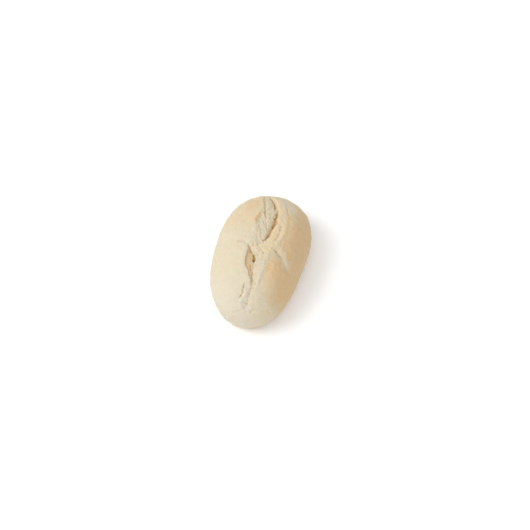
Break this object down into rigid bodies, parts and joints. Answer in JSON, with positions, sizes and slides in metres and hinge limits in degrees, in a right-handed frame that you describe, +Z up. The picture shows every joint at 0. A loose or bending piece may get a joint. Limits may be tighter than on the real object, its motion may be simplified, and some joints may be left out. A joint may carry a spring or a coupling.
{
  "type": "french bread roll",
  "caption": "Small part-baked French bread roll, an oval loaf with a flat base and a torn lengthwise split along its top.",
  "frame": {"origin": "middle of the bounding box in X and Y, on the flat base that the roll rests on", "axes": "+Z up; X along the roll, with its broader end at +X; +Y towards the side of the split whose crust curls up into a lip"},
  "size_m": [0.105, 0.067, 0.0465],
  "materials": {
    "crust": "dry matt pale crust, lightly floured, with rough torn crumb in the split"
  },
  "bodies": {
    "root": {"bread_roll": "crust"}
  },
  "joints": []
}
